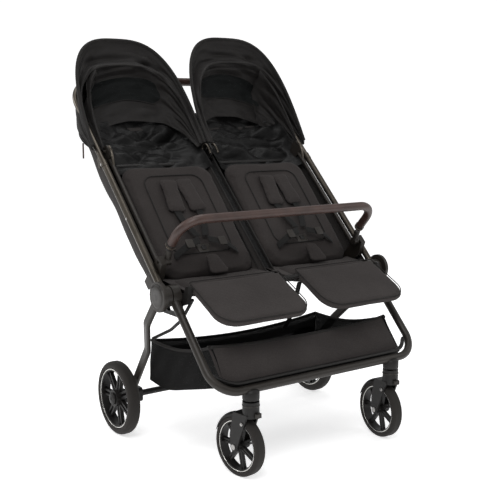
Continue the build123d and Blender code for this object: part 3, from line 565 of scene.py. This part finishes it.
# ---- bumper bar: seam, end rings --------------------------------------------------------------
bar_low, bar_high = lo_hi("bumper_bar")
front = Vector((0, bar_low.y + 0.0125, bar_high.z - 0.0125))
seam = [Vector((x, front.y + 0.0088, front.z - 0.0092)) for x in np.linspace(-0.27, 0.27, 9)]
place(tube("bar_seam", seam, 0.0007, LEATHER), "bar", slot="leather")
for side, sign in SIDES:
    end = Vector((sign * 0.332, -0.258, 0.580))
    along = Vector((0, -0.072, 0.077)).normalized()
    turned = along.cross(X)
    for k, (shift, mat) in enumerate(((0.003, BRONZE_LIGHT), (0.0095, BLACK))):
        ring = lathe(f"bar_ring_{k}_{side}",
                     [(0.0118, 0.0), (0.0138, 0.0), (0.0142, 0.002), (0.0138, 0.004), (0.0118, 0.004)],
                     end + shift * along, X, turned, along, mat, 48)
        place(ring, "bar", slot="frame")

# ---- canopies --------------------------------------------------------------------------------
# Stations from the rim back to the rear hem: lean back (degrees past the rim), arch height,
# half width, and how far the fabric of the outer side bags out behind.
HOOD_STATIONS = (
    (0.0, 0.401, 0.1885, 0.1890, 0.0), (2.5, 0.374, 0.1870, 0.1895, 0.0), (4.0, 0.342, 0.1800, 0.1895, 1.0),
    (0.8, 0.315, 0.1700, 0.1880, 1.0), (3.5, 0.303, 0.1745, 0.1895, 6.0), (9.5, 0.288, 0.1740, 0.1905, 10.0),
    (14.5, 0.254, 0.1700, 0.1905, 13.0), (20.0, 0.212, 0.1660, 0.1895, 15.0),
    (27.0, 0.172, 0.1610, 0.1830, 14.0),
)


HOOD_FOOT = 0.004
HOOD_MIDDLE = 0.1965
INNER_BULGE = 0.0115


def between(stations, v):
    """Smooth values along a list of stations, v from 0 to 1."""
    place_v = v * (len(stations) - 1)
    i = min(int(place_v), len(stations) - 2)
    t = place_v - i
    rows = [np.array(stations[max(0, min(len(stations) - 1, i + k))]) for k in (-1, 0, 1, 2)]
    a, b, c, d = rows
    return 0.5 * (2 * b + (c - a) * t + (2 * a - 5 * b + 4 * c - d) * t**2 + (3 * b - a - 3 * c + d) * t**3)


def hood_point(sign, tilt, u, v, lift=0.0, inset=0.0):
    """A point of the hood: u from its outer to its inner foot, v from rim to rear hem."""
    lean, height, inner_half, outer_half, bag = between(HOOD_STATIONS, v)
    angle = pi * u
    outer = max(0.0, cos(angle))
    half = inner_half + (outer_half - inset - inner_half) * outer**0.3
    foot = abs(cos(angle))
    loose = min(1.0, 5.0 * v)
    sway = perlin.noise(Vector((1.6 * angle, 9.0 * v, 3.7 * sign)))
    pucker = perlin.noise(Vector((4.0 * angle + 3.0 * v, 16.0 * v, 8.1 * sign)))
    pleat = 0.0042 * sin(44.0 * v + 5.0 * sway) * foot**1.5 * loose * (1 - 0.6 * (foot > 0.995))
    flat = 0.66
    across = half * abs(cos(angle)) ** flat * (1 if cos(angle) > 0 else -1)
    up = height * sin(angle) ** flat
    folds = (0.016 * sway + 0.010 * pucker) * sin(angle) ** 0.5 * loose
    wrinkle = 0.007 * pucker * loose * sin(angle)
    side_out = 0.004 * outer * sin(pi * min(1.0, up / 0.30)) * v
    turn = tilt + radians(lean + bag * outer**0.7) + folds / 0.3
    radius = up + lift + wrinkle
    inner_bulge = INNER_BULGE if sign > 0 else 0.0
    if across < 0:
        across -= inner_bulge * min(1.0, up / 0.12)
    x = sign * (HOOD_MIDDLE + across + side_out + pleat * (1 if cos(angle) > 0 else -1))
    return Vector((x, CANOPY_HINGE.y + radius * sin(turn), CANOPY_HINGE.z + radius * cos(turn)))


for side, sign in SIDES:
    tilt = CANOPY_TILT[side]

    def hood_shape(u, v, sign=sign, tilt=tilt):
        return hood_point(sign, tilt, HOOD_FOOT + (1 - 2 * HOOD_FOOT) * u, v)

    hood = sheet(f"canopy_{side}_fabric", hood_shape, 84, 60, 0.0024, HOOD_CLOTH)
    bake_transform(hood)
    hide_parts(f"canopy_visor_{side}", f"canopy_fabric_{side}")
    hem = [hood_point(sign, tilt, HOOD_FOOT + (1 - 2 * HOOD_FOOT) * k / 80, 0.0) for k in range(81)]
    rim = tube(f"canopy_rim_{side}", hem, 0.0048, PIPING)
    place(rim, f"canopy_{side}", f"canopy_bow_{side}", slot="fabric")
    for name, v, lift in (("inner", 0.028, -0.001), ("fold", 0.385, -0.002)):
        line = [hood_point(sign, tilt, 0.05 + 0.9 * k / 50, v, lift) for k in range(51)]
        place(tube(f"canopy_{name}_line_{side}", line, 0.0016, PIPING), f"canopy_{side}", slot="fabric")

    # inner layer of the outer side, between the seat and the push tube
    def liner_shape(u, v, sign=sign, tilt=tilt):
        return hood_point(sign, tilt, HOOD_FOOT + 0.34 * u, 0.20 + 0.78 * v, -0.006, 0.031)

    liner = sheet(f"canopy_liner_{side}", liner_shape, 32, 36, 0.0014, HOOD_CLOTH)
    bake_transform(liner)

    # see-through window in the back, with rounded corners, and the hem below it
    def window(u, v, sign=sign, tilt=tilt):
        cu, cv = 2 * u - 1, 2 * v - 1
        squash = (1 - 0.22 * cv**2 * abs(cu)), (1 - 0.16 * cu**2)
        p = hood_point(sign, tilt, 0.5 + 0.205 * cu * squash[0], 0.70 + 0.115 * cv * squash[1])
        inward = Vector((0, -cos(tilt), sin(tilt)))
        return p + 0.0036 * inward

    pane = sheet(f"canopy_window_{side}", window, 30, 14, 0.0008, WINDOW_MESH)
    edge_points = [window(0.5 + 0.5 * a, 0.5 + 0.5 * b) for a, b in
                   [(cos(t) * min(1 / max(abs(cos(t)), 1e-6), 1 / max(abs(sin(t)), 1e-6)),
                     sin(t) * min(1 / max(abs(cos(t)), 1e-6), 1 / max(abs(sin(t)), 1e-6)))
                    for t in np.linspace(0, 2 * pi, 41)[:-1]]]
    edge = tube(f"canopy_window_edge_{side}", edge_points, 0.0012, PIPING, closed=True)
    for piece in (pane, edge):
        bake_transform(piece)

    # hanging leather pull of the zip along the outer side
    zip_foot = hood_point(sign, tilt, 0.045, 0.9)
    pull = [zip_foot + Vector((sign * 0.004, 0.012, dz)) for dz in (0.004, -0.008, -0.020, -0.032, -0.040)]
    place(tube(f"zip_pull_{side}", pull, 0.0024, LEATHER), "upper_frame", slot="leather")

# ---- seat shells: the sling behind each pad -------------------------------------------------------
TUB_STATIONS = ((0.030, 0.060), (0.11, 0.082), (0.21, 0.094), (0.32, 0.088), (0.43, 0.097), (0.53, 0.090),
                (0.61, 0.078), (0.665, 0.064))
TUB_OUTER_X = 0.3655
TUB_INNER_X = 0.0125


def tub_point(sign, u, v, front=0.0):
    """The sling: u from the outer tube to the middle, v from the seat up to the canopy hem."""
    s, depth = between(TUB_STATIONS, v)
    edge = abs(2 * u - 1)
    wall = 1 - edge ** (18 if u < 0.5 else 7)
    lip = 0.010 + front + 0.018 * max(0.0, v - 0.72) / 0.28
    crease = 0.011 * perlin.noise(Vector((2.5 * u, 7.0 * v, 5.0 * sign))) * wall
    n = lip + (depth - lip) * wall + crease
    x = sign * (TUB_OUTER_X - u * (TUB_OUTER_X - TUB_INNER_X))
    return on_back(x, s, n)


for side, sign in SIDES:
    def tub_shape(u, v, sign=sign):
        return tub_point(sign, u, v)

    tub = sheet(f"seat_sling_{side}", tub_shape, 48, 48, 0.003, CHARCOAL)
    # the tubes hold the sling's edges, and its floor leans back with the backrest
    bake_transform(tub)

    def lining_shape(u, v, sign=sign):
        s = 0.444 + 0.276 * v
        edge = abs(2 * u - 1)
        wall = 1 - edge**9
        deep = 0.031 + 0.010 * v**2 + 0.010 * sin(pi * v) * (1 - edge**2)
        folds = perlin.noise(Vector((2.3 * u + 1.1 * v, 5.5 * v - 1.9 * u, 2.3 * sign)))
        fine = perlin.noise(Vector((5.0 * u - 2.0 * v, 9.0 * v + 3.0 * u, 6.1 * sign)))
        crease = 0.013 * (1 - 3 * abs(folds)) + 0.006 * (1 - 3 * abs(fine))
        n = -0.002 + 0.012 * v + (deep + crease * (0.3 + sin(pi * v))) * wall
        x = sign * (0.3530 - u * (0.3530 - 0.0135))
        return on_back(x, s, n)

    lining = sheet(f"upper_lining_{side}", lining_shape, 56, 44, 0.0016, LINING)
    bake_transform(lining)
    for name, u in (("outer", 0.004), ("inner", 0.996)):
        line = [tub_point(sign, u, 0.02 + 0.9 * k / 30, -0.003) for k in range(31)]
        place(tube(f"sling_piping_{name}_{side}", line, 0.0026, PIPING), "upper_frame", slot="fabric")

# ---- seats ------------------------------------------------------------------------------------------
STRAP_WIDTH = 0.022
PAD_FOOT = (0.104, 0.016)
PAD_HEAD = (0.460, -0.003)
FOOTREST_HALF = 0.1505
FOOTREST_SLOPE = radians(26.6)
for side, sign in SIDES:
    middle = sign * SEAT_MIDDLE
    foot = on_back(middle, *PAD_FOOT)
    head = on_back(middle, *PAD_HEAD)
    up = (head - foot).normalized()
    out = X.cross(up).normalized()
    length = (head - foot).length
    axes = (foot - 0.026 * out, X, up, out)

    pad = stuffed(f"seat_pad_{side}", rounded_outline(SEAT_HALF - 0.002, -0.045, length - 0.004, 0.050), axes,
                  0.020, PAD_CLOTH, swell=0.0065)
    place(pad, f"backrest_{side}", f"back_pad_{side}", f"backrest_board_{side}", slot="fabric")
    surface = foot + 0.001 * out

    def on_pad(u, v, rise=0.0, surface=surface, up=up, out=out):
        return surface + u * X + v * up + rise * out

    # a sewn channel round the middle of the pad
    channel = []
    for u, v in rounded_outline(0.098, 0.030, length - 0.052, 0.034):
        channel.append(on_pad(u, v, 0.0015))
    seam = tube(f"pad_channel_{side}", channel, 0.0016, PIPING, closed=True)
    place(seam, f"backrest_{side}", slot="fabric")

    # shoulder pads, straps and buckle
    for k, shift in (("outer", sign * 0.036), ("inner", -sign * 0.036)):
        origin = on_pad(shift, 0.168, 0.0055)
        lean = (up + 0.10 * (-1 if shift > 0 else 1) * X).normalized()
        side_dir = lean.cross(out).normalized() * -1
        shoulder = stuffed(f"shoulder_pad_{k}_{side}", rounded_outline(0.0285, 0.0, 0.116, 0.012),
                           (origin, side_dir, lean, out), 0.008, PAD_CLOTH, swell=0.003, voxel=0.0032)
        place(shoulder, f"backrest_{side}", slot="fabric")
        strap_points = [on_pad(shift * 0.9, 0.286, 0.002), on_pad(shift, 0.262, 0.008),
                        on_pad(shift, 0.17, 0.0085), on_pad(shift * 0.8, 0.12, 0.013),
                        on_pad(shift * 0.35, 0.075, 0.016)]

        def strap_shape(u, v, points=strap_points):
            p = Vector(between([tuple(q) for q in points], v))
            return p + (u - 0.5) * STRAP_WIDTH * X

        place(sheet(f"shoulder_strap_{k}_{side}", strap_shape, 4, 26, 0.0016, WEBBING), f"backrest_{side}",
              slot="fabric")
        waist_points = [on_pad(shift * 2.9, 0.022, 0.004), on_pad(shift * 1.9, 0.040, 0.020),
                        on_pad(shift * 1.1, 0.052, 0.022), on_pad(shift * 0.4, 0.062, 0.018)]

        def waist_shape(u, v, points=waist_points, up=up):
            p = Vector(between([tuple(q) for q in points], v))
            return p + (u - 0.5) * STRAP_WIDTH * up

        place(sheet(f"waist_strap_{k}_{side}", waist_shape, 4, 18, 0.0016, WEBBING), f"backrest_{side}",
              slot="fabric")
        ladder = on_pad(shift * 1.5, 0.048, 0.0235)
        bar = slab(f"ladder_lock_{k}_{side}", rounded_outline(0.012, -0.014, 0.014, 0.003),
                   (ladder, X, up, out), 0.003, BRONZE, 0.001)
        place(bar, f"backrest_{side}", slot="frame")

    low, high = lo_hi(f"buckle_{side}")
    middle_point = (low + high) / 2
    axes = (middle_point - 0.007 * out, X, up, out)
    buckle = slab(f"buckle_body_{side}", rounded_outline(0.0175, -0.017, 0.015, 0.006, taper=0.006), axes,
                  0.0125, BRONZE, 0.003)
    place(buckle, f"backrest_{side}", f"buckle_{side}", slot="plastic")

    # crotch pad standing up from the seat
    low, high = lo_hi("crotch_pads")
    base = Vector((middle, low.y + 0.006, low.z + 0.006))
    tip = Vector((middle, high.y - 0.006, high.z + 0.004))
    rise = (tip - base).normalized()
    face = X.cross(rise).normalized()
    outline = rounded_outline(0.030, 0.0, (tip - base).length, 0.012, taper=-0.009)
    crotch = stuffed(f"crotch_pad_{side}", outline, (base, X, rise, face), 0.009, PAD_CLOTH,
                     swell=0.003, voxel=0.0032)
    place(crotch, "front_frame", *(["crotch_pads"] if sign < 0 else []), slot="fabric")

    # seat cushion and footrest
    low, high = lo_hi(f"seat_cushion_{side}")
    size = high - low
    axes = (Vector((middle, (low.y + high.y) / 2, low.z + 0.002)), X, Y, Z)
    half_depth = size.y / 2 - 0.004
    cushion = stuffed(f"seat_base_{side}", rounded_outline(SEAT_HALF - 0.006, -half_depth, half_depth, 0.02),
                      axes, size.z - 0.007, PAD_CLOTH, swell=0.007)
    place(cushion, "front_frame", f"seat_cushion_{side}", slot="fabric")

    slope = FOOTREST_SLOPE
    down = Vector((0, -cos(slope), -sin(slope)))
    over = Vector((0, -sin(slope), cos(slope)))
    start = Vector((middle - sign * 0.003, FOOT_PIVOT.y, FOOT_PIVOT.z)) + 0.006 * down
    outline = [(-u, v) for u, v in rounded_outline(FOOTREST_HALF, -0.030, 0.156, 0.056)]
    outline = [
        (u, v) if v > 0.05 else (max(-FOOTREST_HALF, min(FOOTREST_HALF, u * 1.5)), v) for u, v in outline
    ]
    rest = stuffed(f"footrest_pad_{side}", outline, (start - 0.008 * over, X * -1, down, over), 0.016, RIBBED,
                   swell=0.0035, voxel=0.0045)
    place(rest, f"footrest_{side}", f"footrest_{side}", slot="fabric")
    trim = [start + 0.0105 * over + u * 0.962 * X + v * 0.962 * down for u, v in outline]
    edge = tube(f"footrest_piping_{side}", trim, 0.0014, PIPING, closed=True)
    place(edge, f"footrest_{side}", slot="fabric")

# ---- fabric between and under the seats ------------------------------------------------------------
def centre_strip(u, v):
    """The dark fabric between the two seats, from the seat up to the hoods."""
    return on_back((2 * u - 1) * 0.0245, 0.050 + 0.60 * v, 0.024 + 0.010 * sin(pi * u))


place(sheet("centre_fabric", centre_strip, 6, 30, 0.0016, LINING), "upper_frame", slot="fabric")
for side, sign in SIDES:
    def valance(u, v, sign=sign):
        """The seat's under-fabric, forward to the footrest and out to the leg tubes."""
        x = sign * (0.006 + 0.329 * u)
        dip = 0.006 * sin(pi * u)
        return Vector((x, -0.205 - 0.150 * v, 0.486 - 0.012 * v - dip))

    place(sheet(f"seat_valance_{side}", valance, 24, 10, 0.0018, RIBBED), "front_frame", slot="fabric")

# ---- basket -------------------------------------------------------------------------------------------
B_FRONT_TOP = Vector((0, -0.412, 0.336))
B_FRONT_LOW = Vector((0, -0.474, 0.246))
B_REAR_TOP = Vector((0, -0.095, 0.290))


def basket_side(sign):
    def shape(u, v):
        top = B_FRONT_TOP.lerp(B_REAR_TOP, u) - Z * 0.018 * sin(pi * u)
        line = [B_FRONT_LOW, Vector((0, -0.30, 0.196)), Vector((0, -0.18, 0.166)), Vector((0, -0.082, 0.170))]
        bottom = Vector(between([tuple(p) for p in line], u))
        p = bottom.lerp(top, v)
        bulge = 0.006 * sin(pi * v) * sin(pi * u) - 0.004
        pleat = 0.0015 * sin(24 * u + 6 * v) * sin(pi * v)
        return Vector((sign * (0.3055 + bulge + pleat), p.y, p.z))
    return shape


for side, sign in SIDES:
    wall = sheet(f"basket_side_{side}", basket_side(sign), 36, 16, 0.0012, BASKET_MESH)
    place(wall, "front_frame", *(["basket"] if sign < 0 else []), slot="fabric")
    shape = basket_side(sign)
    bind = [shape(u, 1.0) for u in np.linspace(0, 1, 21)]
    place(tube(f"basket_binding_{side}", bind, 0.0042, PIPING), "front_frame", slot="fabric")


def basket_front(u, v):
    x = (2 * u - 1) * 0.309
    corner = abs(2 * u - 1) ** 8
    sag = 0.010 * (1 - (2 * u - 1) ** 2) * v
    p = Vector((0, -0.484, 0.2465)).lerp(B_FRONT_TOP, v)
    belly = 0.007 * sin(pi * v) * (1 - (2 * u - 1) ** 6)
    ripple = 0.0016 * sin(31 * u) * sin(pi * v) * (0.3 + abs(2 * u - 1))
    return Vector((x, p.y - belly - ripple + 0.012 * corner, p.z - sag))


def basket_floor(u, v):
    line = [B_FRONT_LOW, Vector((0, -0.30, 0.196)), Vector((0, -0.18, 0.166)), Vector((0, -0.082, 0.170))]
    p = Vector(between([tuple(q) for q in line], v))
    sag = 0.004 * sin(pi * u) * sin(pi * v)
    return Vector(((2 * u - 1) * 0.302, p.y, p.z + 0.002 - sag))


def basket_rear(u, v):
    p = Vector((0, -0.083, 0.170)).lerp(B_REAR_TOP, v)
    sag = 0.022 * (1 - (2 * u - 1) ** 2) * v
    return Vector(((2 * u - 1) * 0.302, p.y - 0.006 * sin(pi * v), p.z - sag))


# The front takes the lighter ribbed cloth in place of the dark mesh: partly its own cloth, partly painted
# light on a face that turns down into shade.
for name, shape, mat in (("front", basket_front, RIBBED), ("floor", basket_floor, LINING),
                         ("rear", basket_rear, BASKET_MESH)):
    place(sheet(f"basket_{name}", shape, 48, 12, 0.0016, mat), "front_frame", slot="fabric")
for name, shape in (("front", basket_front), ("rear", basket_rear)):
    bind = [shape(u, 1.0) for u in np.linspace(0, 1, 25)]
    place(tube(f"basket_binding_{name}", bind, 0.0042, PIPING), "front_frame", slot="fabric")
HANGER_ROUTE = ((-0.352, 0.462), (-0.33, 0.40), (-0.305, 0.345), (-0.285, 0.316))
strap_line = [Vector((0.03, y, z)) for y, z in HANGER_ROUTE]


def strap_shape(u, v):
    p = Vector(between([tuple(q) for q in strap_line], v))
    return p + (u - 0.5) * 0.018 * X


place(sheet("basket_hanger", strap_shape, 3, 16, 0.0014, WEBBING), "front_frame", slot="fabric")

# ---- stage: floor, light, camera --------------------------------------------------------------------------
floor_mat, _, floor_shader = new_material("studio_floor")
floor_shader.inputs["Base Color"].default_value = (0.84, 0.84, 0.845, 1)
floor_shader.inputs["Roughness"].default_value = 0.9
floor_shader.inputs["Emission Color"].default_value = (1, 1, 1, 1)
floor_shader.inputs["Emission Strength"].default_value = 0.62


def backdrop(u, v):
    reach = 14.0 * v - 4.0
    rise = max(0.0, reach - 6.0) ** 2 * 0.35
    side_x, side_y = sin(radians(35.6)), cos(radians(35.6))
    across_x = (u - 0.5) * 24.0
    return Vector((across_x * side_y + reach * side_x, reach * side_y - across_x * side_x, rise))


stage = sheet("studio", backdrop, 4, 48, 0.01, floor_mat, offset=-1.0, smooth_levels=0)


def area_light(name, position, target, size, energy):
    data = bpy.data.lights.new(name, "AREA")
    data.shape = "DISK"
    data.size = size
    data.energy = energy
    lamp = bpy.data.objects.new(name, data)
    bpy.context.scene.collection.objects.link(lamp)
    lamp.location = position
    aim = Vector(target) - Vector(position)
    lamp.rotation_euler = aim.to_track_quat("-Z", "Y").to_euler()


area_light("key", (-1.8, -2.2, 3.2), (0, -0.1, 0.6), 1.8, 62)
area_light("fill", (2.6, -1.8, 2.2), (0, -0.1, 0.6), 2.4, 20)
area_light("top", (0.2, 0.6, 3.8), (0, 0, 0.5), 2.6, 42)
area_light("rim", (-2.4, 2.2, 2.4), (0, 0.1, 0.8), 1.4, 34)
world = bpy.data.worlds.new("studio_world")
bpy.context.scene.world = world
world.use_nodes = True
world.node_tree.nodes["Background"].inputs["Color"].default_value = (1, 1, 1, 1)
world.node_tree.nodes["Background"].inputs["Strength"].default_value = 0.36

camera_data = bpy.data.cameras.new("camera")
camera_data.sensor_width = 36.0
camera_data.lens = 64.45
camera = bpy.data.objects.new("camera", camera_data)
bpy.context.scene.collection.objects.link(camera)
camera.location = (-1.51369, -2.26919, 0.92979)
camera.rotation_euler = (radians(90.0 - 8.7594), 0, radians(-35.6047))
bpy.context.scene.camera = camera
bpy.context.scene.view_settings.view_transform = "Standard"
